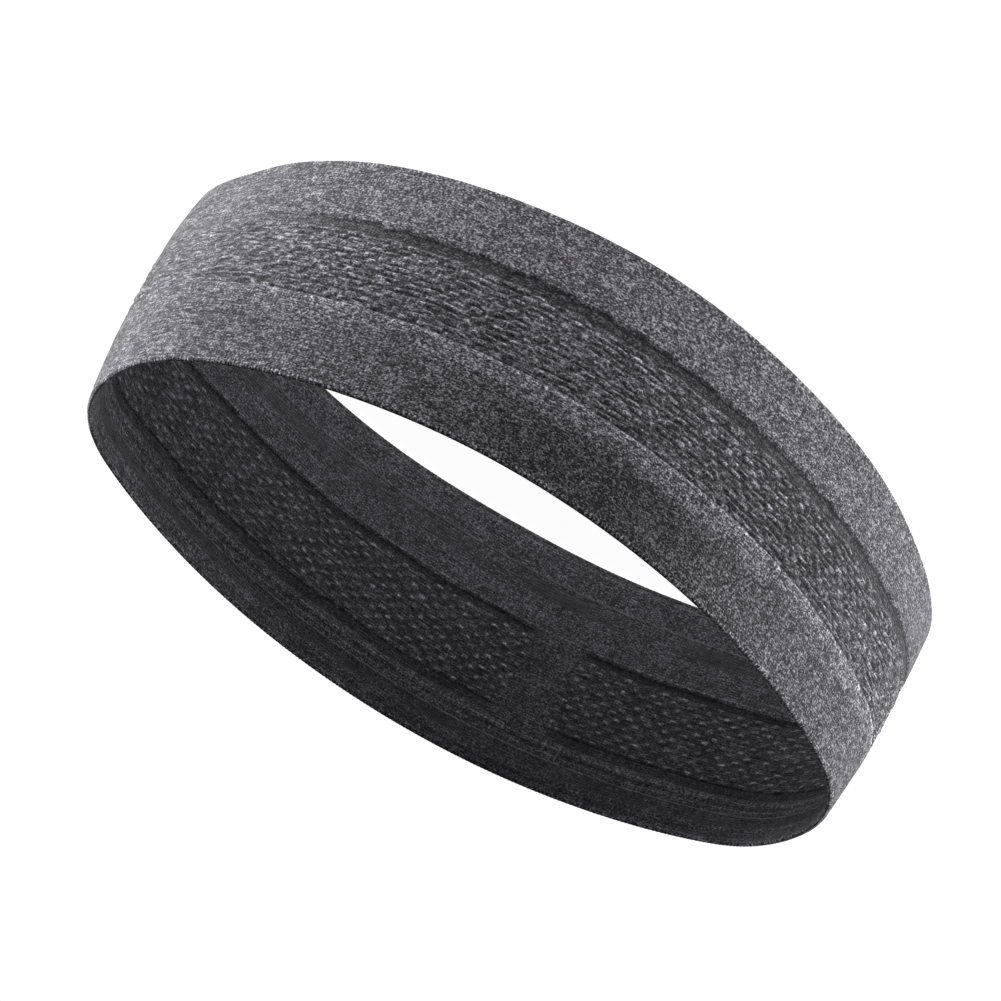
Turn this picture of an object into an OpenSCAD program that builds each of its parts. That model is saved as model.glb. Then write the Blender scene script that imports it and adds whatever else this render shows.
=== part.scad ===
// Seamless knitted sports headband, standing on its lower rim as an open oval loop.
// Two thin knitted layers lie face to face: a melange grey outer layer and a charcoal inner one.
// Both are closed by a folded edge at each rim, with a fine elastic yarn running inside each fold.
// Millimetres, +Z up, X along the loop, origin on the floor under the middle of the loop.

/* [Loop] */
// Outside length of the loop along X
loop_length = 190; // [170:1:220]
// Outside radius of the two tight ends
end_radius = 38; // [34:0.5:46]
// Slope of the line from the middle of a long side's arc to the middle of an end's arc
arc_slope = 1.05; // [0.9:0.05:1.2]

/* [Band] */
// Height of the band, which is the width of the knitted tube laid flat
band_height = 60; // [56:0.5:76]
// Thickness of one knitted layer
layer_t = 0.8; // [0.6:0.05:1.2]
// Height of the folded edge at each rim
fold_height = 2.6; // [2.2:0.1:4]

/* [Outer layer] */
// Height of the plain knit below the textured zone
outer_plain_low = 17; // [12:0.2:22]
// Height of the textured zone
textured_height = 22.4; // [16:0.2:26]
// How far the textured zone sinks below the plain knit
textured_sink = 0.15; // [0.05:0.05:0.3]

/* [Inner layer] */
// Height of the plain knit below the mesh zone
inner_plain_low = 23.4; // [14:0.2:26]
// Height of the mesh zone
mesh_height = 22.8; // [16:0.2:24]
// How far the mesh zone sinks below the plain knit
mesh_sink = 0.15; // [0.05:0.05:0.3]
// Width of the plain bridge that interrupts the mesh zone at the back
bridge_width = 10; // [6:0.5:20]
// Angle of the bridge from the middle of the back, about the centre of the back's arc
bridge_angle = 16; // [-30:1:30]

/* [Edge elastic and hem stitches] */
// Diameter of the elastic yarn inside each folded edge
elastic_d = 0.6; // [0.4:0.05:0.8]
// Height of the lower row of hem stitches above the lower rim
lower_hem_inset = 9.4; // [6:0.2:12]
// Depth of the upper row of hem stitches below the upper rim
upper_hem_inset = 7.8; // [6:0.2:10]
// Width of a row of hem stitches
hem_row_w = 0.9; // [0.5:0.1:1.6]
// How far the hem stitches stand out of the inner layer
hem_row_t = 0.25; // [0.15:0.05:0.4]

/* [Hidden] */
$fn = 192;

wall_t = 2 * layer_t;

// The oval has four arcs, two ends and two long sides, which are tangent where they meet.
// They meet on the lines that run from the middle of a side's arc through the middle of an end's.
end_centre = loop_length / 2 - end_radius;
side_centre = end_centre * arc_slope;
side_radius = end_radius + sqrt(pow(end_centre, 2) + pow(side_centre, 2));
wedge_reach = 3;

// The folded edges are a rounded bead with a flat foot for the band to stand on.
fold_round = 0.5;
elastic_inset = 1.1;

// Heights of the zones of each layer
knit_low = fold_height;
knit_high = band_height - fold_height;
textured_low = outer_plain_low;
textured_high = textured_low + textured_height;
mesh_low = inner_plain_low;
mesh_high = mesh_low + mesh_height;

melange_grey = [0.36, 0.36, 0.38];
textured_grey = [0.27, 0.27, 0.29];
charcoal = [0.12, 0.12, 0.13];
mesh_charcoal = [0.09, 0.09, 0.1];
edge_grey = [0.17, 0.17, 0.18];
elastic_black = [0.04, 0.04, 0.04];
thread_grey = [0.2, 0.2, 0.21];

// A full ring of one of the oval's radii. The children's X is the depth into the wall,
// from 0 on the outside, and their Y is the height.
module ring(radius) {
    rotate_extrude()
        translate([radius, 0])
            mirror([1, 0])
                children();
}

// The space beyond an end's arc, between the two lines where it meets the long sides.
module end_wedge() {
    linear_extrude(band_height)
        polygon([
            [end_centre, 0],
            [wedge_reach * end_centre, -(wedge_reach - 1) * side_centre],
            [wedge_reach * end_centre, (wedge_reach - 1) * side_centre]
        ]);
}

// The space beyond a long side's arc, between the two lines where it meets the ends.
module side_wedge() {
    linear_extrude(band_height)
        polygon([
            [0, -side_centre],
            [wedge_reach * end_centre, (wedge_reach - 1) * side_centre],
            [-wedge_reach * end_centre, (wedge_reach - 1) * side_centre]
        ]);
}

module end_arc() {
    intersection() {
        translate([end_centre, 0, 0])
            ring(end_radius)
                children();
        end_wedge();
    }
}

module side_arc() {
    intersection() {
        translate([0, -side_centre, 0])
            ring(side_radius)
                children();
        side_wedge();
    }
}

// Sweeps the children round the whole oval.
module loop_sweep() {
    end_arc() children();
    side_arc() children();
    mirror([1, 0, 0]) end_arc() children();
    mirror([0, 1, 0]) side_arc() children();
}

// A strip of knit between two depths and two heights.
module strip(depth, thickness, low, high) {
    translate([depth, low])
        square([thickness, high - low]);
}

// A block that cuts the back wall over the bridge, square to the wall.
module bridge_block() {
    translate([0, -side_centre, 0])
        rotate([0, 0, bridge_angle])
            translate([-bridge_width / 2, side_radius / 2, 0])
                cube([bridge_width, side_radius, band_height]);
}

module outer_lower_plain_knit() {
    color(melange_grey)
        loop_sweep()
            strip(0, layer_t, knit_low, textured_low);
}

module outer_textured_knit() {
    color(textured_grey)
        loop_sweep()
            strip(textured_sink, layer_t - textured_sink, textured_low, textured_high);
}

module outer_upper_plain_knit() {
    color(melange_grey)
        loop_sweep()
            strip(0, layer_t, textured_high, knit_high);
}

module inner_lower_plain_knit() {
    color(charcoal)
        loop_sweep()
            strip(layer_t, layer_t, knit_low, mesh_low);
}

module mesh_ring() {
    loop_sweep()
        strip(layer_t, layer_t - mesh_sink, mesh_low, mesh_high);
}

module inner_mesh_knit() {
    color(mesh_charcoal)
        difference() {
            mesh_ring();
            bridge_block();
        }
}

module inner_bridge_knit() {
    color(charcoal)
        intersection() {
            loop_sweep()
                strip(layer_t, layer_t, mesh_low, mesh_high);
            bridge_block();
        }
}

module inner_upper_plain_knit() {
    color(charcoal)
        loop_sweep()
            strip(layer_t, layer_t, mesh_high, knit_high);
}

// A folded edge seen end on, standing on its rounded rim with a flat foot.
module fold_profile() {
    difference() {
        union() {
            translate([0, fold_round])
                square([wall_t, fold_height - fold_round]);
            translate([fold_round, 0])
                square([wall_t - 2 * fold_round, fold_round]);
            for (depth = [fold_round, wall_t - fold_round])
                translate([depth, fold_round])
                    circle(fold_round);
        }
        elastic_profile();
    }
}

module elastic_profile() {
    translate([layer_t, elastic_inset])
        circle(elastic_d / 2);
}

// Turns a rim profile over, for the upper rim.
module upper_rim_profile() {
    translate([0, band_height])
        mirror([0, 1])
            children();
}

module lower_folded_edge() {
    color(edge_grey)
        loop_sweep()
            fold_profile();
}

module upper_folded_edge() {
    color(edge_grey)
        loop_sweep()
            upper_rim_profile()
                fold_profile();
}

module lower_edge_elastic() {
    color(elastic_black)
        loop_sweep()
            elastic_profile();
}

module upper_edge_elastic() {
    color(elastic_black)
        loop_sweep()
            upper_rim_profile()
                elastic_profile();
}

// A row of stitches that holds a folded hem down lies on the inner layer.
module hem_row(height) {
    color(thread_grey)
        loop_sweep()
            strip(wall_t, hem_row_t, height - hem_row_w / 2, height + hem_row_w / 2);
}

module lower_hem_stitches() {
    hem_row(lower_hem_inset);
}

module upper_hem_stitches() {
    hem_row(band_height - upper_hem_inset);
}

outer_lower_plain_knit();
outer_textured_knit();
outer_upper_plain_knit();
inner_lower_plain_knit();
inner_mesh_knit();
inner_bridge_knit();
inner_upper_plain_knit();
lower_folded_edge();
upper_folded_edge();
lower_edge_elastic();
upper_edge_elastic();
lower_hem_stitches();
upper_hem_stitches();
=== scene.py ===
# A knitted sports headband standing on its lower rim: two thin knitted layers, the folded edges
# that join them, the elastic yarn in each fold and two rows of hem stitches.
# Metres. A place on the wall is (s, z, depth): s runs round the outside of the loop from its
# +X end, anticlockwise from above, z is the height, and depth goes in from the outside.
import math

import bpy
import numpy as np
from mathutils import Matrix, Vector


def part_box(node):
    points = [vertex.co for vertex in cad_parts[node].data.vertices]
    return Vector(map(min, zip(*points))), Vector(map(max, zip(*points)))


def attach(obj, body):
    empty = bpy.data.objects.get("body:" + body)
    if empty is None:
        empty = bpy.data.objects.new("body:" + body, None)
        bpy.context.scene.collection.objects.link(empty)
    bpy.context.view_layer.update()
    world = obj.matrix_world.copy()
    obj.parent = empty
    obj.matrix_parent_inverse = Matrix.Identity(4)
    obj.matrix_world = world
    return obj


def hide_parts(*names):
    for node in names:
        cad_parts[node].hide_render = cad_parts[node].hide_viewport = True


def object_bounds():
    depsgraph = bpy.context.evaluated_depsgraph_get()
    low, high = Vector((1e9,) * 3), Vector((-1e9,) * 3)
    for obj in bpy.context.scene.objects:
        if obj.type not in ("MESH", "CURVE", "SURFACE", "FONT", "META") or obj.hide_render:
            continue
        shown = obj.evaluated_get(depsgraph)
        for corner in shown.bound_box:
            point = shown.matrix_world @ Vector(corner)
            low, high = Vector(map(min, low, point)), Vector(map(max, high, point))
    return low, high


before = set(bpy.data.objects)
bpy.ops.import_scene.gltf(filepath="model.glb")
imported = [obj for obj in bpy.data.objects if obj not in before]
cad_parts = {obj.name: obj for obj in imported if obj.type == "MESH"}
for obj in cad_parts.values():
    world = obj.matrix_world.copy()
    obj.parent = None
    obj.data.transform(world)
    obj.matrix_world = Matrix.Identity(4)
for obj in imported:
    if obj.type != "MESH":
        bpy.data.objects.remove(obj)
cad_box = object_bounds()

MM = 0.001

# The loop, whose oval is four arcs
END_RADIUS = 38 * MM
ARC_SLOPE = 1.05
END_CENTRE = cad_box[1].x - END_RADIUS
SIDE_CENTRE = END_CENTRE * ARC_SLOPE
SIDE_RADIUS = END_RADIUS + math.hypot(END_CENTRE, SIDE_CENTRE)
JOIN = math.atan(ARC_SLOPE)
ANGLES = np.array([0, JOIN, math.pi - JOIN, math.pi + JOIN, 2 * math.pi - JOIN, 2 * math.pi])
RADII = np.array([END_RADIUS, SIDE_RADIUS, END_RADIUS, SIDE_RADIUS, END_RADIUS])
CENTRES_X = END_CENTRE * np.array([1, 0, -1, 0, 1])
CENTRES_Y = SIDE_CENTRE * np.array([0, -1, 0, 1, 0])
ARCS = np.concatenate([[0], np.cumsum(np.diff(ANGLES) * RADII)])
AROUND = ARCS[-1]

# The band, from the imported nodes
HEIGHT = cad_box[1].z
LAYER_T = 0.8 * MM
WALL_T = 2 * LAYER_T
LAYER_GAP = 0.02 * MM
LOWER_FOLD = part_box("lower_folded_edge")[1].z
UPPER_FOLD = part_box("upper_folded_edge")[0].z
TEXTURE_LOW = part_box("outer_textured_knit")[0].z
TEXTURE_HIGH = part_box("outer_textured_knit")[1].z
MESH_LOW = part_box("inner_mesh_knit")[0].z
MESH_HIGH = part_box("inner_mesh_knit")[1].z
LOWER_HEM = sum(corner.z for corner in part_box("lower_hem_stitches")) / 2
UPPER_HEM = sum(corner.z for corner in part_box("upper_hem_stitches")) / 2

# The stitches
WALES = 368
COURSE = 0.72 * MM
COLUMNS = 3 * WALES
EDGE_COLUMNS = 2 * COLUMNS
RIM_LOOPS = 480
RIB_LOOPS = 300
ROW = 1.55 * MM
OUTER_CELLS = 138
INNER_CELLS = 102
HEM_STITCHES = 310
ELASTIC_WRAPS = 330

# The folded edges and the elastic inside them
RIM_ROUND = 0.72 * MM
RIM_OUTER = 0.12 * MM
RIM_INNER = 1.3 * MM
ELASTIC_DEPTH = 0.78 * MM
ELASTIC_R = 0.27 * MM
ELASTIC_INSET = 1.25 * MM
TUNNEL_R = 0.32 * MM

# The plain bridge through the inner mesh zone, as columns of the grid
BRIDGE_ANGLE = math.radians(16)
BRIDGE_WIDTH = 10 * MM
BRIDGE_S = AROUND / 4 + SIDE_RADIUS * BRIDGE_ANGLE
BRIDGE_FROM = round((BRIDGE_S - BRIDGE_WIDTH / 2) / AROUND * COLUMNS)
BRIDGE_TO = round((BRIDGE_S + BRIDGE_WIDTH / 2) / AROUND * COLUMNS)


# ---- The wall's shape ----

# The wall's direction is kept smooth where the arcs join, so that nothing shaped by it creases.
TURN = np.linspace(0, 2 * math.pi, 4000, endpoint=False)
AHEAD = np.interp(TURN / (2 * math.pi) * AROUND, ARCS, ANGLES) - TURN
BENDS = [2 * np.mean(AHEAD * np.sin(n * TURN)) for n in (2, 4)]


def smooth_angle(s):
    """The wall's direction from above, without the sudden changes of bend of the four arcs."""
    turn = 2 * math.pi * s / AROUND
    return turn + BENDS[0] * np.sin(2 * turn) + BENDS[1] * np.sin(4 * turn)


def flare(angle, up):
    """How far the soft wall stands off the even oval, along its normal."""
    low = 0.6 * np.sin(2 * angle) + 0.5 * np.cos(2 * angle)
    low = low + 3.6 * np.sin(3 * angle) - 1.4 * np.cos(3 * angle)
    high = 0.5 * np.sin(2 * angle) + 0.5 * np.sin(4 * angle) - 0.5 * np.cos(4 * angle)
    return MM * (low * (1 - up) + high * up)


def swell(angle, up):
    """The wall's soft rounding between its rims, with a little unevenness."""
    uneven = 0.22 * np.sin(5 * angle + 1.3) * np.sin(2 * math.pi * up + 0.6)
    uneven = uneven + 0.16 * np.sin(8 * angle + 0.4) * np.sin(3 * math.pi * up)
    round_out = 0.6 + 1.4 * np.cos(angle) ** 2 + 0.4 * np.cos(angle)
    return MM * (round_out * np.sin(math.pi * np.clip(up, 0, 1)) + uneven)


def lift(angle, up):
    """How far the upper rim waves up and down."""
    wave = 0.8 * np.sin(angle) - 0.5 * np.cos(angle) + 0.5 * np.cos(2 * angle)
    wave = wave - 0.3 * np.sin(3 * angle)
    return MM * wave * np.clip(up, 0, 1) ** 2


def wall(s, z, depth):
    """The points of the wall at these places, as an array of x, y, z."""
    s, z, depth = np.broadcast_arrays(np.mod(s, AROUND), z, depth)
    angle = np.interp(s, ARCS, ANGLES)
    arc = np.clip(np.searchsorted(ARCS, s, side="right") - 1, 0, len(RADII) - 1)
    up = z / HEIGHT
    smooth = smooth_angle(s)
    out = RADII[arc] + flare(smooth, up) + swell(smooth, up) - depth
    x = CENTRES_X[arc] + out * np.cos(angle)
    y = CENTRES_Y[arc] + out * np.sin(angle)
    x = x * (1.004 - 0.04 * up) - 1.6 * MM * (1 - up)
    y = y * 0.996 - 0.4 * MM * (1 - up)
    return np.stack([x, y, z + lift(smooth, up)], -1)


# ---- The relief and tone of the knit ----

WAVES = 7
DARKEST = 0.15


def window(x, centre, half):
    """1 at the centre, falling smoothly to 0 at half away."""
    return 0.5 + 0.5 * np.cos(math.pi * np.clip(np.abs(x - centre) / half, 0, 1))


def ramp(x, low, high):
    """0 below low, 1 above high, smooth between."""
    t = np.clip((x - low) / (high - low), 0, 1)
    return t * t * (3 - 2 * t)


def waver(s, z, seed, size):
    """Smooth unevenness from -1 to 1 that closes round the loop."""
    draw = np.random.default_rng(seed)
    total = np.zeros(np.broadcast(s, z).shape)
    for _ in range(WAVES):
        turns = round(AROUND / size * draw.uniform(0.6, 1.5))
        rise = draw.uniform(-2.2, 2.2) / size
        total += np.sin(2 * math.pi * (turns * s / AROUND + rise * z) + draw.uniform(0, 6.28))
    return total / 4


JITTER_ROWS, JITTER_CELLS = 64, 128
CELL_JITTER = np.random.default_rng(11).uniform(-1, 1, (JITTER_ROWS, JITTER_CELLS, 4))


def dashes(s, z, low, cells, long_half, soft, loose):
    """Staggered rows of raised dashes: how raised a place is, and how deep between the rows
    or between the dashes of a row."""
    slow_drift = 0.16 * MM * waver(s, 0 * z, 5, 21 * MM)
    z = z + slow_drift + 0.22 * MM * loose * waver(s, z, 4, 7 * MM)
    row = np.floor((z - low) / ROW).astype(int)
    turn = s / AROUND * cells + 0.5 * (row % 2)
    cell = np.floor(turn).astype(int)
    jitter = loose * CELL_JITTER[row % JITTER_ROWS, (cell % cells) % JITTER_CELLS]
    along = np.abs(turn - cell - 0.5 + 0.13 * jitter[..., 0])
    half = long_half * (1 + 0.45 * jitter[..., 1])
    inside = 1 - ramp(along, half, half + soft)
    across = np.sin(math.pi * ((z - low) / ROW - row + 0.16 * jitter[..., 3])) ** 2
    raised = inside * across * (1 + 0.6 * jitter[..., 2])
    slit = (1 - across) * (0.3 + 0.7 * inside) * (1 + 0.7 * jitter[..., 1])
    pit = (1 - inside) * across
    return raised, slit, pit


def look(tone, fleck=1.0, streak=1.0):
    """A place's tone, and how strong its yarn's flecks and streaks are."""
    return np.stack(np.broadcast_arrays(np.maximum(tone, DARKEST), fleck, streak), -1)


def facing(s):
    """The cosine of the wall's direction: 1 at the +X end, 0 in the middle of a long side."""
    return np.cos(smooth_angle(s))


def outer_face(s, z):
    """Relief in metres and look of the outer layer: the textured zone, the groove under it and the
    welt above it with its bead. Painted shade darkens the groove, a band along each of its edges,
    the slits and pits between the dashes and the upper plain zone in the middle of each long side;
    a painted highlight lightens the welt and the dashes. The +X end is almost plain."""
    turned = facing(s)
    plain_end = ramp(turned, 0.4, 0.8)
    zone = ramp(z, TEXTURE_LOW + 3.4 * MM, TEXTURE_LOW + 4.4 * MM)
    zone = zone * (1 - ramp(z, TEXTURE_HIGH - 0.7 * MM, TEXTURE_HIGH - 0.3 * MM))
    raised, slit, pit = dashes(s, z, TEXTURE_LOW, OUTER_CELLS, 0.24, 0.18, 1)
    edge = z + 0.35 * MM * waver(s, z, 3, 9 * MM)
    groove = ramp(edge, TEXTURE_LOW - 0.4 * MM, TEXTURE_LOW + 0.8 * MM)
    groove = groove * (1 - ramp(edge, TEXTURE_LOW + 2.8 * MM, TEXTURE_LOW + 4.1 * MM))
    # Painted shadow: a darker band along each of the groove's two edges.
    groove_edge_shadow = window(edge, TEXTURE_LOW + 0.6 * MM, 0.7 * MM)
    groove_edge_shadow = groove_edge_shadow + window(edge, TEXTURE_LOW + 3.2 * MM, 0.7 * MM)
    marked = 1 - 0.85 * plain_end
    groove = groove * marked
    zone = zone * (1 - 0.4 * plain_end)
    line = z + 0.15 * MM * waver(s, 0 * z, 6, 17 * MM)
    # The welt is raised, and its lighter tone is a painted highlight.
    welt = ramp(line, TEXTURE_HIGH - 0.5 * MM, TEXTURE_HIGH - 0.1 * MM)
    welt = welt * (1 - ramp(line, TEXTURE_HIGH + 3 * MM, TEXTURE_HIGH + 6.5 * MM))
    welt = welt * (1 - 0.7 * plain_end)
    beat = np.clip(0.5 + 1.3 * waver(s, 0 * z, 8, 2.1 * MM), 0, 1)
    bead = window(line, TEXTURE_HIGH, 0.8 * MM) * (0.3 + 0.7 * beat) * marked
    under = window(line, TEXTURE_HIGH - 0.9 * MM, 0.5 * MM) * (1 - beat) * marked
    # Painted shade: the upper plain zone above the welt is darkened in the middle of each long
    # side, a little at the -X end and not at the +X end.
    painted_shade = (1 - ramp(turned, -0.05, 0.5)) * (1 - 0.8 * ramp(-turned, 0.15, 0.45))
    painted_shade = painted_shade * ramp(z, TEXTURE_HIGH + 3.5 * MM, TEXTURE_HIGH + 8 * MM)
    relief = zone * (0.3 * raised - 0.17 * slit - 0.18 * pit - 0.08) - 0.45 * groove + 0.16 * welt
    relief = relief + 0.05 * bead - 0.1 * under + 0.03 * waver(s, z, 21, 2.4 * MM)
    # Painted shade and highlight in the textured zone: darker in the slits and pits, lighter on the
    # raised dashes and towards the top of the zone, lighter on the +X half and darker part way
    # towards the -X end.
    climb = (z - TEXTURE_LOW) / (TEXTURE_HIGH - TEXTURE_LOW) - 0.5
    painted_dash_shading = raised - 0.62 * slit - 0.4 * pit - 0.1 + 0.2 * climb + 0.2 * ramp(turned, -0.2, 0.2)
    painted_dash_shading = painted_dash_shading - 0.08 * plain_end - 0.2 * window(turned, -0.4, 0.25)
    # The groove's darker tone is painted shade on top of its real depth.
    tone = 1 + zone * painted_dash_shading - 0.63 * groove + 0.36 * welt + 1.6 * bead - 0.6 * under
    tone = tone - 0.55 * painted_shade - 0.26 * groove_edge_shadow * marked
    fleck = 1 - 0.1 * zone - 0.3 * plain_end + 0.3 * painted_shade
    streak = 0.5 + 0.35 * plain_end + 0.3 * ramp(-turned, 0.4, 0.8) + 0.3 * zone
    return relief * MM, look(tone, fleck, streak)


def inner_face(s, z):
    """Relief in metres and look of the inner layer: the mesh zone between its two grooves, with
    the bridge across it, and the ribs and smooth bands nearer the rims. Painted shade darkens
    the grooves and the -X end, and painted light brightens the lower part and the +X end."""
    side = np.abs(np.mod(s - BRIDGE_S + AROUND / 2, AROUND) - AROUND / 2)
    corner = MM * window(z, MESH_LOW, 3 * MM) + MM * window(z, MESH_HIGH, 3 * MM)
    away = ramp(side, BRIDGE_WIDTH / 2 - 1.5 * MM + corner, BRIDGE_WIDTH / 2 + 3.5 * MM + corner)
    zone = ramp(z, MESH_LOW + 0.2 * MM, MESH_LOW + 1.2 * MM) * away
    zone = zone * (1 - ramp(z, MESH_HIGH - 2.4 * MM, MESH_HIGH - 1.6 * MM))
    raised, slit, _ = dashes(s, z, MESH_LOW + 0.9 * MM, INNER_CELLS, 0.09, 0.09, 0.6)
    low_line = MESH_LOW + 0.35 * MM * waver(s, 0 * z, 13, 40 * MM)
    low_groove = ramp(z, low_line - 1.0 * MM, low_line - 0.5 * MM)
    low_groove = low_groove * (1 - ramp(z, low_line, low_line + 1.9 * MM)) * away
    high_line = MESH_HIGH + 0.5 * MM * waver(s, 0 * z, 14, 46 * MM)
    high_groove = ramp(z, high_line - 2.4 * MM, high_line - 1.8 * MM)
    high_groove = high_groove * (1 - ramp(z, high_line + 0.4 * MM, high_line + 1.4 * MM)) * away
    drift = 2 * waver(s, 0 * z, 15, 25 * MM)
    loops = 0.5 + 0.5 * np.cos(2 * math.pi * RIB_LOOPS * s / AROUND + drift)
    ribs = window(z, MESH_HIGH + 2.3 * MM, 0.8 * MM) * (0.3 + 0.9 * loops)
    ribs = ribs - 0.8 * window(z, MESH_HIGH + 3.5 * MM, 0.6 * MM) * (1 - loops)
    ribs = ribs + 0.6 * window(z, MESH_HIGH + 4.5 * MM, 0.5 * MM)
    ribs = ribs + 0.8 * window(z, MESH_LOW - 1.7 * MM, 0.45 * MM)
    ribs = ribs + 0.4 * window(z, 16.6 * MM, 0.45 * MM) + 0.4 * window(z, 56 * MM, 0.4 * MM)
    smooth = ramp(z, 9.8 * MM, 10.6 * MM) * (1 - ramp(z, 13.8 * MM, 14.8 * MM))
    smooth = smooth + ramp(z, 52.6 * MM, 53.4 * MM) * (1 - ramp(z, 55 * MM, 55.8 * MM))
    patchy = np.clip(0.55 + 0.6 * waver(s, 0.4 * z, 17, 34 * MM), 0.1, 1)
    smooth = smooth * np.maximum(patchy, ramp(facing(s), 0.1, 0.5))
    relief = zone * (0.3 * raised - 0.14) - 0.34 * low_groove - 0.34 * high_groove
    relief = relief + 0.14 * ribs - 0.06 * smooth + 0.03 * waver(s, z, 22, 2.4 * MM)
    # The grooves' darker tone is painted shade on top of their real depth.
    tone = 1.1 + zone * (1.9 * raised - 0.2 * slit - 0.2) - 0.64 * low_groove - 0.44 * high_groove
    tone = tone + 0.75 * ribs - 0.2 * smooth + 0.35 * window(z, LOWER_HEM, 0.7 * MM)
    # Painted light: the inner face is lighter below about 22 mm and at the +X end, and darker at
    # the -X end. It is also darker along its lowest 2 mm.
    tone = tone + 0.14 * (1 - ramp(z, 18 * MM, 26 * MM)) - 0.45 * (1 - ramp(z, 1 * MM, 2.2 * MM))
    tone = tone + 0.1 * ramp(facing(s), 0.2, 0.6) - 0.12 * ramp(-facing(s), 0, 0.5)
    fleck = 1 - 0.15 * zone - 0.75 * smooth - 0.2 * low_groove - 0.2 * high_groove
    return relief * MM, look(tone, fleck, 0.6 + 0.8 * zone)


# ---- Meshes ----

SHARP_ANGLE = math.radians(70)


def mesh_piece(node, part, points, faces, knit, looks, material):
    """A closed mesh in a node's stead, with its place on the wall at each corner and its look at
    each point."""
    name = node + "." + part
    mesh = bpy.data.meshes.new(name)
    mesh.from_pydata(points.tolist(), [], faces)
    mesh.attributes.new("knit", "FLOAT_VECTOR", "CORNER").data.foreach_set(
        "vector", np.asarray(knit, np.float32).ravel())
    mesh.attributes.new("look", "FLOAT_VECTOR", "POINT").data.foreach_set(
        "vector", np.asarray(looks, np.float32).ravel())
    mesh.polygons.foreach_set("use_smooth", [True] * len(mesh.polygons))
    mesh.set_sharp_from_angle(angle=SHARP_ANGLE)
    mesh.update()
    piece = bpy.data.objects.new(name, mesh)
    bpy.context.scene.collection.objects.link(piece)
    mesh.materials.append(material)
    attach(piece, "root")
    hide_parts(node)
    return piece


def swept(sections, closed):
    """Faces and corner places of a section that runs round the wall. sections is (columns,
    points, 3): s, z and depth, with each section's points in a loop in the order that makes the
    faces look outwards."""
    columns, points = sections.shape[:2]
    spans = columns if closed else columns - 1
    here = np.arange(spans)[:, None]
    after = (here + 1) % columns
    a = np.arange(points)[None, :]
    b = (a + 1) % points
    faces = [here * points + a, after * points + a, after * points + b, here * points + b]
    faces = np.stack(faces, -1).reshape(-1, 4)
    places = sections.reshape(-1, 3)[faces]
    if closed:
        last = places[-points:]
        last[:, 1:3, 0] = AROUND
    faces = faces.tolist()
    places = places.reshape(-1, 3)
    if not closed:
        first_cap = list(range(points))
        last_cap = list(range((columns - 1) * points, columns * points))[::-1]
        flat = sections.reshape(-1, 3)
        faces += [first_cap, last_cap]
        places = np.concatenate([places, flat[first_cap], flat[last_cap]])
    return faces, places


def knit_strip(name, low, high, rows, face, material, columns=None):
    """One zone of a layer, as a solid strip whose seen face carries the relief. It runs round
    the whole loop unless it is given its columns."""
    closed = columns is None
    if closed:
        columns = np.arange(COLUMNS)
    s = columns * AROUND / COLUMNS
    z = np.linspace(low, high, rows + 1)
    grid_s, grid_z = np.meshgrid(s, z, indexing="ij")
    relief, tone = face(grid_s, grid_z)
    outside = face is outer_face
    front = -relief if outside else WALL_T + relief
    back = LAYER_T - LAYER_GAP if outside else LAYER_T + LAYER_GAP
    seen = np.stack([grid_s, grid_z, front], -1)
    hidden = np.stack([grid_s[:, [-1, 0]], grid_z[:, [-1, 0]], np.full((len(s), 2), back)], -1)
    sections = np.concatenate([seen, hidden], 1)
    tones = np.concatenate([tone, look(np.full((len(s), 2), 0.6))], 1)
    if not outside:
        sections = sections[:, ::-1]
        tones = tones[:, ::-1]
    faces, places = swept(sections, closed)
    flat = sections.reshape(-1, 3)
    points = wall(flat[:, 0], flat[:, 1], flat[:, 2])
    return mesh_piece(name, "knit", points, faces, places, tones, material)


def edge_section(reach):
    """The outline of a folded edge: up the outer face, over the rim and down the inner face."""
    up = np.linspace(0, 1, 7)[:-1]
    over = np.linspace(math.pi, 0, 11)
    shoulder = reach - RIM_ROUND
    middle = (RIM_OUTER + RIM_INNER) / 2
    half = (RIM_INNER - RIM_OUTER) / 2
    away = np.concatenate([up * shoulder, shoulder + RIM_ROUND * np.sin(over), up[::-1] * shoulder])
    depth = np.concatenate([RIM_OUTER * up ** 2, middle + half * np.cos(over),
                            RIM_INNER + (WALL_T - RIM_INNER) * (1 - up[::-1]) ** 2])
    return away, depth


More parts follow.
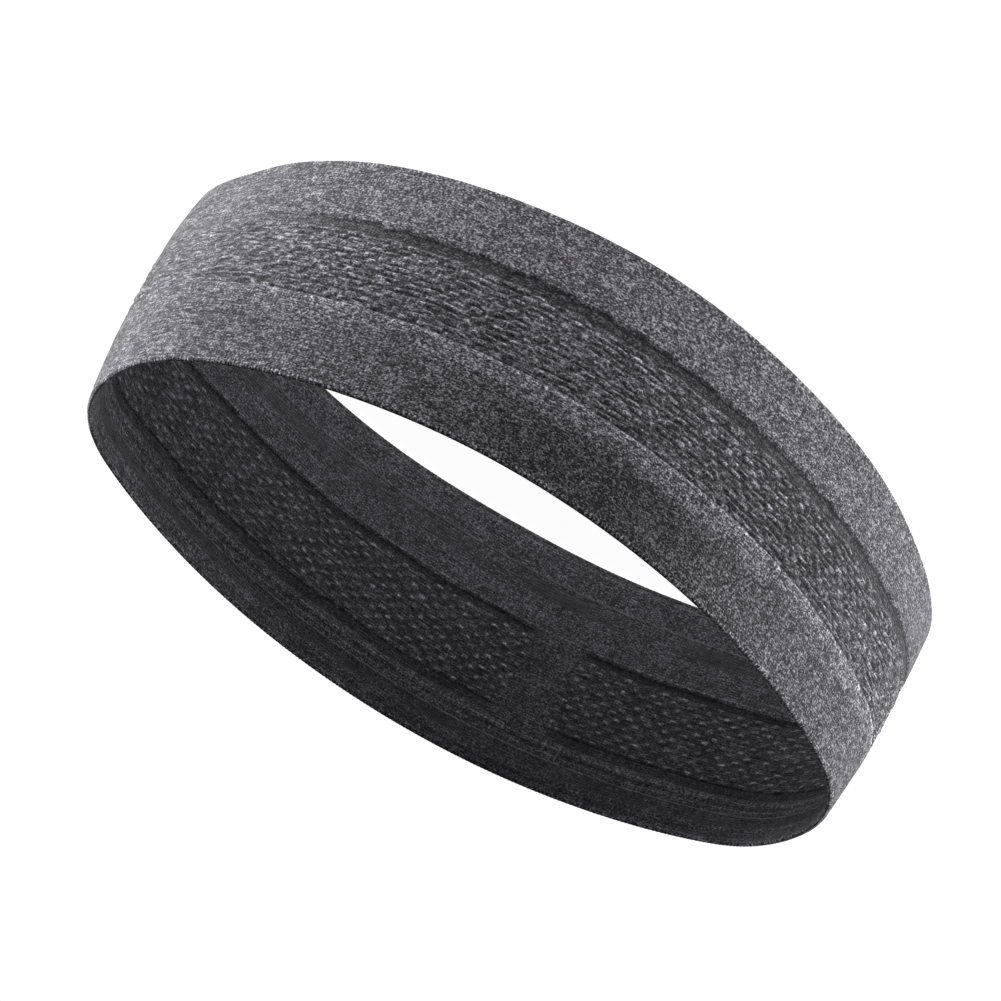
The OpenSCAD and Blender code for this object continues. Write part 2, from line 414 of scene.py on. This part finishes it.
def folded_edge(name, rim, fold, material):
    """A folded edge, rounded over the rim, with small loops along it and a tunnel for its
    elastic."""
    reach = abs(rim - fold)
    sign = 1 if rim > fold else -1
    away, depth = edge_section(reach)
    s = np.arange(EDGE_COLUMNS) * AROUND / EDGE_COLUMNS
    grid_s, grid_away = np.meshgrid(s, away, indexing="ij")
    grid_depth = np.broadcast_to(depth, grid_s.shape).copy()
    grid_z = fold + sign * grid_away
    outer_relief, outer_tone = outer_face(grid_s, grid_z)
    inner_relief, inner_tone = inner_face(grid_s, grid_z)
    inward = ramp(grid_depth, 1 * MM, 1.35 * MM)
    fade = 1 - ramp(grid_away, reach - 1.2 * MM, reach - 0.4 * MM)
    grid_depth += fade * (inner_relief * inward - outer_relief * (1 - inward))
    drift = 0.8 * waver(grid_s, 0 * grid_s, 31, 12 * MM)
    loop = 0.5 + 0.5 * np.cos(2 * math.pi * RIM_LOOPS * grid_s / AROUND + drift)
    bead = window(grid_away, reach - 0.55 * MM, 0.9 * MM) * (1 - inward)
    grid_depth -= 0.12 * MM * loop * bead
    tone = outer_tone * (1 - inward[..., None]) + inner_tone * inward[..., None]
    tone[..., 0] += 1.2 * bead * (loop - 0.15)
    if sign > 0:
        grid_z = grid_z - 0.05 * MM * (1 - loop) * window(grid_away, reach, 0.8 * MM)
    sections = np.stack([grid_s, grid_z, grid_depth], -1)
    if sign < 0:
        sections = sections[:, ::-1]
        tone = tone[:, ::-1]
    faces, places = swept(sections, True)
    # The tunnel is a second shell that faces its own middle.
    turn = np.linspace(0, 2 * math.pi, 13)[:-1]
    elastic_z = rim - sign * ELASTIC_INSET
    ring_s = np.arange(COLUMNS) * AROUND / COLUMNS
    tunnel_s, tunnel_turn = np.meshgrid(ring_s, turn, indexing="ij")
    tunnel = np.stack([tunnel_s, elastic_z + TUNNEL_R * np.sin(tunnel_turn),
                       ELASTIC_DEPTH - TUNNEL_R * np.cos(tunnel_turn)], -1)
    tunnel_faces, tunnel_places = swept(tunnel[:, ::-1], True)
    offset = sections.shape[0] * sections.shape[1]
    faces += [[corner + offset for corner in face] for face in tunnel_faces]
    flat = np.concatenate([sections.reshape(-1, 3), tunnel[:, ::-1].reshape(-1, 3)])
    tunnel_looks = look(np.full(tunnel.shape[0] * tunnel.shape[1], 0.5))
    tones = np.concatenate([tone.reshape(-1, 3), tunnel_looks])
    points = wall(flat[:, 0], flat[:, 1], flat[:, 2])
    places = np.concatenate([places, tunnel_places])
    return mesh_piece(name, "knit", points, faces, places, tones, material)


def elastic_yarn(name, rim, inward, material):
    """A covered elastic yarn, whose cover winds round its core."""
    s = np.arange(EDGE_COLUMNS) * AROUND / EDGE_COLUMNS
    turn = np.linspace(0, 2 * math.pi, 13)[:-1]
    grid_s, grid_turn = np.meshgrid(s, turn, indexing="ij")
    ridge = np.cos(2 * math.pi * ELASTIC_WRAPS * grid_s / AROUND - grid_turn)
    radius = ELASTIC_R - 0.02 * MM + 0.02 * MM * ridge
    section = np.stack([grid_s, rim + inward * ELASTIC_INSET + radius * np.sin(grid_turn),
                        ELASTIC_DEPTH - radius * np.cos(grid_turn)], -1)
    faces, places = swept(section, True)
    flat = section.reshape(-1, 3)
    points = wall(flat[:, 0], flat[:, 1], flat[:, 2])
    return mesh_piece(name, "yarn", points, faces, places, look(1 + 0.3 * ridge),
                      material)


def hem_stitches(name, z, material):
    """A row of small slanting stitches, each a plump grain of thread that overlaps the next."""
    along, around = 9, 8
    t = np.linspace(0.15, math.pi - 0.15, along)
    turn = np.linspace(0, 2 * math.pi, around + 1)[:-1]
    # Each row's seed comes from its height.
    draw = np.random.default_rng(round(z * 1e5))
    points, faces, places, tones = [], [], [], []
    for k in range(HEM_STITCHES):
        middle = (k + 0.5 + draw.uniform(-0.06, 0.06)) * AROUND / HEM_STITCHES
        length = 0.98 * MM * draw.uniform(0.92, 1.06)
        slant = 0.16 * MM * draw.uniform(0.7, 1.3)
        lean = draw.uniform(-0.05, 0.05) * MM
        base = len(points) * along * around
        axis_s = middle - length * np.cos(t)[:, None] + 0 * turn[None, :]
        fat = np.sin(t)[:, None] ** 0.6
        grain_z = z + lean - slant * np.cos(t)[:, None] + 0.34 * MM * fat * np.cos(turn)
        relief = inner_face(np.array([middle]), np.array([z]))[0][0]
        grain_depth = WALL_T + relief + 0.12 * MM * fat * (1 + np.sin(turn)) - 0.09 * MM
        spot = np.stack([axis_s % AROUND, grain_z, grain_depth], -1).reshape(-1, 3)
        points.append(spot)
        tones.append(look(np.full(along * around, draw.uniform(0.6, 1.3))))
        for i in range(along - 1):
            for j in range(around):
                n = (j + 1) % around
                quad = [i * around + j, (i + 1) * around + j, (i + 1) * around + n, i * around + n]
                faces.append([base + q for q in quad])
                places.append(spot[quad])
        faces.append([base + j for j in range(around)])
        places.append(spot[:around])
        last = (along - 1) * around
        faces.append([base + last + j for j in range(around)][::-1])
        places.append(spot[last:last + around][::-1])
    flat = np.concatenate(points)
    spots = wall(flat[:, 0], flat[:, 1], flat[:, 2])
    return mesh_piece(name, "thread", spots, faces, np.concatenate(places), np.concatenate(tones),
                      material)


# ---- Materials ----

class Nodes:
    """A short way to build a material's nodes."""

    def __init__(self, name):
        self.material = bpy.data.materials.new(name)
        self.material.use_nodes = True
        self.tree = self.material.node_tree
        self.tree.nodes.clear()

    def add(self, kind, inputs=(), **settings):
        node = self.tree.nodes.new(kind)
        for key, value in settings.items():
            setattr(node, key, value)
        for key, value in dict(inputs).items():
            self.put(node.inputs[key], value)
        return node

    def put(self, socket, value):
        if isinstance(value, bpy.types.NodeSocket):
            self.tree.links.new(value, socket)
        else:
            socket.default_value = value

    def math(self, operation, a, b=0.0, c=0.0):
        node = self.add("ShaderNodeMath", {0: a, 1: b, 2: c}, operation=operation)
        return node.outputs[0]

    def fit(self, value, low, high, to_low, to_high):
        node = self.add("ShaderNodeMapRange", {"Value": value, "From Min": low, "From Max": high,
                                               "To Min": to_low, "To Max": to_high})
        return node.outputs["Result"]

    def mix(self, factor, a, b):
        node = self.add("ShaderNodeMix", data_type="RGBA")
        self.put(node.inputs[0], factor)
        self.put(node.inputs[6], a)
        self.put(node.inputs[7], b)
        return node.outputs[2]

    def noise(self, vector, size_round, size_up, detail=2.0):
        """Noise whose grains are this long round the loop and this high."""
        scale = (1 / size_round, 1 / size_round, 1 / size_up)
        mapped = self.add("ShaderNodeVectorMath", {0: vector, 1: scale}, operation="MULTIPLY")
        node = self.add("ShaderNodeTexNoise", {"Vector": mapped.outputs[0], "Scale": 1.0,
                                               "Detail": detail, "Roughness": 0.6})
        return node.outputs["Fac"]


def stitch_pattern(n):
    """Height of the knit's slanting legs, a random number for each leg, and the depth in the
    wall."""
    place = n.add("ShaderNodeAttribute", attribute_name="knit").outputs["Vector"]
    parts = n.add("ShaderNodeSeparateXYZ", {0: place})
    wales = n.math("MULTIPLY", parts.outputs[0], WALES / AROUND)
    part = n.math("FRACT", wales)
    off = n.math("ABSOLUTE", n.math("SUBTRACT", part, 0.5))
    course = n.math("MULTIPLY_ADD", parts.outputs[1], 1 / COURSE, n.math("MULTIPLY", off, 1.1))
    leg = n.math("ABSOLUTE", n.math("SINE", n.math("MULTIPLY", wales, 2 * math.pi)))
    bar = n.math("ABSOLUTE", n.math("SINE", n.math("MULTIPLY", course, math.pi)))
    height = n.math("MULTIPLY", leg, bar)
    cell = n.add("ShaderNodeCombineXYZ", {0: n.math("FLOOR", n.math("MULTIPLY", wales, 2.0)),
                                          1: n.math("FLOOR", course)})
    chance = n.add("ShaderNodeTexWhiteNoise", {"Vector": cell.outputs[0]}, noise_dimensions="3D")
    return height, chance.outputs["Value"], parts.outputs[2]


def yarn_tone(n, spot, height, chance, fleck, streak, leg):
    """How light the yarn is at a place: flecks, streaks along the courses, each stitch's own tone,
    and painted shade and highlight that make the stitches' raised legs lighter and the hollows
    between them darker."""
    own_look = n.add("ShaderNodeSeparateXYZ", {0: n.add(
        "ShaderNodeAttribute", attribute_name="look").outputs["Vector"]}).outputs
    fine = n.math("SUBTRACT", n.noise(spot, 0.56 * MM, 0.34 * MM), 0.5)
    along = n.math("SUBTRACT", n.noise(spot, 3 * MM, 0.5 * MM, 1.0), 0.5)
    broad = n.math("SUBTRACT", n.noise(spot, 8 * MM, 4 * MM), 0.5)
    total = n.math("MULTIPLY", fine, n.math("MULTIPLY", own_look[1], fleck))
    total = n.math("MULTIPLY_ADD", along, n.math("MULTIPLY", own_look[2], streak), total)
    total = n.math("MULTIPLY_ADD", broad, 1.0, total)
    own_tone = n.math("SUBTRACT", chance, 0.5)
    total = n.math("MULTIPLY_ADD", own_tone, n.math("MULTIPLY", own_look[1], leg), total)
    # Painted shade and highlight: lighter where the stitch legs stand high, darker between them.
    total = n.math("MULTIPLY_ADD", n.math("SUBTRACT", height, 0.5), 0.55, total)
    limited = n.math("TANH", n.math("MULTIPLY", total, 0.66))
    return n.math("MULTIPLY", n.math("POWER", TONE_RANGE, limited), own_look[0])


def tinted(n, shade, colour):
    """The colour times a tone."""
    node = n.add("ShaderNodeVectorMath", {0: colour}, operation="SCALE")
    n.put(node.inputs["Scale"], shade)
    return node.outputs[0]


def finish_cloth(n, colour, height, fine, depth, sheen):
    """The cloth's shader, with the stitches' bump."""
    total = n.math("ADD", height, n.math("MULTIPLY", fine, 0.6))
    bump = n.add("ShaderNodeBump", {"Height": total, "Distance": depth, "Strength": 0.75})
    shader = n.add("ShaderNodeBsdfPrincipled", {"Base Color": colour, "Roughness": 0.88,
                                                "Normal": bump.outputs[0]})
    shader.inputs["Specular IOR Level"].default_value = 0.22
    shader.inputs["Sheen Weight"].default_value = sheen
    shader.inputs["Sheen Roughness"].default_value = 0.55
    n.add("ShaderNodeOutputMaterial", {"Surface": shader.outputs[0]})


MELANGE = (0.094, 0.092, 0.103)
CHARCOAL = (0.069, 0.067, 0.077)
# The lightest yarn is this many times the colour, and the darkest is the colour over it.
TONE_RANGE = 5.6


def knit_material(name, colour, fleck, streak, leg, depth, sheen):
    """A knit of one yarn; depth is its bump's, in metres."""
    n = Nodes(name)
    spot = n.add("ShaderNodeTexCoord").outputs["Object"]
    height, chance, _ = stitch_pattern(n)
    shade = yarn_tone(n, spot, height, chance, fleck, streak, leg)
    fine = n.noise(spot, 0.35 * MM, 0.3 * MM)
    finish_cloth(n, tinted(n, shade, colour), height, fine, depth, sheen)
    return n.material


def edge_material():
    """The folded edge: melange outside, charcoal from the middle of the rim inwards."""
    n = Nodes("folded_edge_knit")
    spot = n.add("ShaderNodeTexCoord").outputs["Object"]
    height, chance, depth = stitch_pattern(n)
    outer = tinted(n, yarn_tone(n, spot, height, chance, 9.5, 5, 1.3), MELANGE)
    inner = tinted(n, yarn_tone(n, spot, height, chance, 5, 2, 0.7), CHARCOAL)
    colour = n.mix(n.fit(depth, 1.1 * MM, 1.35 * MM, 0, 1), outer, inner)
    fine = n.noise(spot, 0.35 * MM, 0.3 * MM)
    finish_cloth(n, colour, height, fine, 0.1 * MM, 0.1)
    return n.material


def yarn_material(name, colour, roughness, sheen):
    """A yarn or thread that is a piece of its own."""
    n = Nodes(name)
    spot = n.add("ShaderNodeTexCoord").outputs["Object"]
    fine = n.noise(spot, 0.3 * MM, 0.12 * MM)
    tone = n.add("ShaderNodeSeparateXYZ", {0: n.add(
        "ShaderNodeAttribute", attribute_name="look").outputs["Vector"]}).outputs[0]
    shade = n.math("MULTIPLY", n.fit(fine, 0.25, 0.75, 0.7, 1.3), tone)
    bump = n.add("ShaderNodeBump", {"Height": fine, "Distance": 0.04 * MM, "Strength": 0.7})
    shader = n.add("ShaderNodeBsdfPrincipled", {"Base Color": tinted(n, shade, colour),
                                                "Roughness": roughness, "Normal": bump.outputs[0]})
    shader.inputs["Sheen Weight"].default_value = sheen
    n.add("ShaderNodeOutputMaterial", {"Surface": shader.outputs[0]})
    return n.material


# ---- Stage, camera and light ----

FLOOR_GLOW = 0.95
SKY_LIGHT = 0.04
BACKDROP = 1.0


def make_camera():
    """The camera is rolled, because the photo shows the band turned over."""
    target = Vector((0, 0, HEIGHT / 2))
    azimuth = math.radians(7.9)
    elevation = math.radians(30.9)
    roll = math.radians(151.7)
    distance = 0.66
    back = Vector((math.sin(azimuth) * math.cos(elevation),
                   -math.cos(azimuth) * math.cos(elevation), math.sin(elevation)))
    right = (-back).cross(Vector((0, 0, 1))).normalized()
    up = right.cross(-back)
    across = math.cos(roll) * right - math.sin(roll) * up
    above = math.sin(roll) * right + math.cos(roll) * up
    data = bpy.data.cameras.new("camera")
    data.sensor_width = 36
    data.lens = 107.3
    data.shift_x = -0.013
    data.shift_y = 0.008
    data.clip_start = 0.01
    camera = bpy.data.objects.new("camera", data)
    bpy.context.scene.collection.objects.link(camera)
    turn = Matrix((across, above, back)).transposed()
    camera.matrix_world = Matrix.Translation(target + back * distance) @ turn.to_4x4()
    bpy.context.scene.camera = camera


def make_floor():
    mesh = bpy.data.meshes.new("floor")
    side = 6
    level = -0.2 * MM
    corners = [(-side, -side, level), (side, -side, level), (side, side, level),
               (-side, side, level)]
    mesh.from_pydata(corners, [], [(0, 1, 2, 3)])
    floor = bpy.data.objects.new("floor", mesh)
    bpy.context.scene.collection.objects.link(floor)
    n = Nodes("pale_floor")
    shader = n.add("ShaderNodeBsdfPrincipled", {"Base Color": (0.5, 0.5, 0.5, 1), "Roughness": 0.9})
    shader.inputs["Emission Color"].default_value = (1, 1, 1, 1)
    shader.inputs["Emission Strength"].default_value = FLOOR_GLOW
    n.add("ShaderNodeOutputMaterial", {"Surface": shader.outputs[0]})
    mesh.materials.append(n.material)


def area_light(name, place, aim, size, power):
    data = bpy.data.lights.new(name, "AREA")
    data.shape = "RECTANGLE"
    data.size, data.size_y = size
    data.energy = power
    light = bpy.data.objects.new(name, data)
    light.location = place
    light.rotation_mode = "QUATERNION"
    light.rotation_quaternion = (Vector(aim) - Vector(place)).to_track_quat("-Z", "Y")
    bpy.context.scene.collection.objects.link(light)
    return light


def make_light():
    """A world that is bright only to the camera, two softboxes and a strip along the floor."""
    world = bpy.data.worlds.new("world")
    world.use_nodes = True
    tree = world.node_tree
    path = tree.nodes.new("ShaderNodeLightPath")
    strength = tree.nodes.new("ShaderNodeMapRange")
    strength.inputs["To Min"].default_value = SKY_LIGHT
    strength.inputs["To Max"].default_value = BACKDROP
    tree.links.new(path.outputs["Is Camera Ray"], strength.inputs["Value"])
    tree.links.new(strength.outputs["Result"], tree.nodes["Background"].inputs["Strength"])
    tree.nodes["Background"].inputs["Color"].default_value = (1, 1, 1, 1)
    bpy.context.scene.world = world
    middle = (0, 0, HEIGHT / 2)
    area_light("left_softbox", (0.72, 0.2, 0.03), middle, (0.3, 0.1), 10.8)
    area_light("right_softbox", (-0.75, -0.05, 0.04), middle, (0.4, 0.16), 7.1)
    strip = area_light("low_strip", (0, -0.3, 0.008), (0, 0, 0.008), (0.3, 0.02), 0.013)
    strip.data.spread = math.radians(14)


bpy.context.scene.view_settings.view_transform = "Standard"
make_camera()
make_floor()
make_light()

melange = knit_material("melange_plain_knit", MELANGE, 9.5, 5, 1.3, 0.12 * MM, 0.1)
textured = knit_material("melange_textured_knit", MELANGE, 8.5, 5, 1.1, 0.09 * MM, 0.1)
charcoal = knit_material("charcoal_plain_knit", CHARCOAL, 5.5, 2, 0.8, 0.08 * MM, 0.05)
mesh_knit = knit_material("charcoal_mesh_knit", CHARCOAL, 5.5, 2, 0.7, 0.06 * MM, 0.05)
edge_knit = edge_material()
elastic = yarn_material("covered_elastic", (0.03, 0.03, 0.033), 0.55, 0.1)
thread = yarn_material("hem_thread", (0.11, 0.108, 0.12), 0.9, 0.05)

# Each zone's name, its lowest and highest line, the rows of its grid, and how it looks
pieces = {}
for name, low, high, rows, face, material, slot in [
    ("outer_lower_plain_knit", LOWER_FOLD, TEXTURE_LOW, 48, outer_face, melange, "melange_knit"),
    ("outer_textured_knit", TEXTURE_LOW, TEXTURE_HIGH, 86, outer_face, textured, "melange_knit"),
    ("outer_upper_plain_knit", TEXTURE_HIGH, UPPER_FOLD, 60, outer_face, melange, "melange_knit"),
    ("inner_lower_plain_knit", LOWER_FOLD, MESH_LOW, 70, inner_face, charcoal, "charcoal_knit"),
    ("inner_upper_plain_knit", MESH_HIGH, UPPER_FOLD, 40, inner_face, charcoal, "charcoal_knit"),
]:
    pieces[name] = knit_strip(name, low, high, rows, face, material)
round_the_loop = np.arange(BRIDGE_TO, BRIDGE_FROM + COLUMNS + 1)
over_the_bridge = np.arange(BRIDGE_FROM, BRIDGE_TO + 1)
pieces["inner_mesh_knit"] = knit_strip(
    "inner_mesh_knit", MESH_LOW, MESH_HIGH, 86, inner_face, mesh_knit,
    round_the_loop)
pieces["inner_bridge_knit"] = knit_strip(
    "inner_bridge_knit", MESH_LOW, MESH_HIGH, 86, inner_face, charcoal,
    over_the_bridge)

lower_edge = folded_edge("lower_folded_edge", 0, LOWER_FOLD, edge_knit)
upper_edge = folded_edge("upper_folded_edge", HEIGHT, UPPER_FOLD, edge_knit)
lower_elastic = elastic_yarn("lower_edge_elastic", 0, 1, elastic)
upper_elastic = elastic_yarn("upper_edge_elastic", HEIGHT, -1, elastic)
lower_hem = hem_stitches("lower_hem_stitches", LOWER_HEM, thread)
upper_hem = hem_stitches("upper_hem_stitches", UPPER_HEM, thread)

# Each zone of the tube is a sheet as high as the zone and as long as its layer is round.
OUTER_LENGTH = AROUND - 2 * math.pi * LAYER_T / 2
INNER_LENGTH = AROUND - 2 * math.pi * (WALL_T - LAYER_T / 2)
for name, piece in pieces.items():
    length = OUTER_LENGTH if name.startswith("outer") else INNER_LENGTH
    if name == "inner_mesh_knit":
        length = length - BRIDGE_WIDTH
    if name == "inner_bridge_knit":
        length = BRIDGE_WIDTH
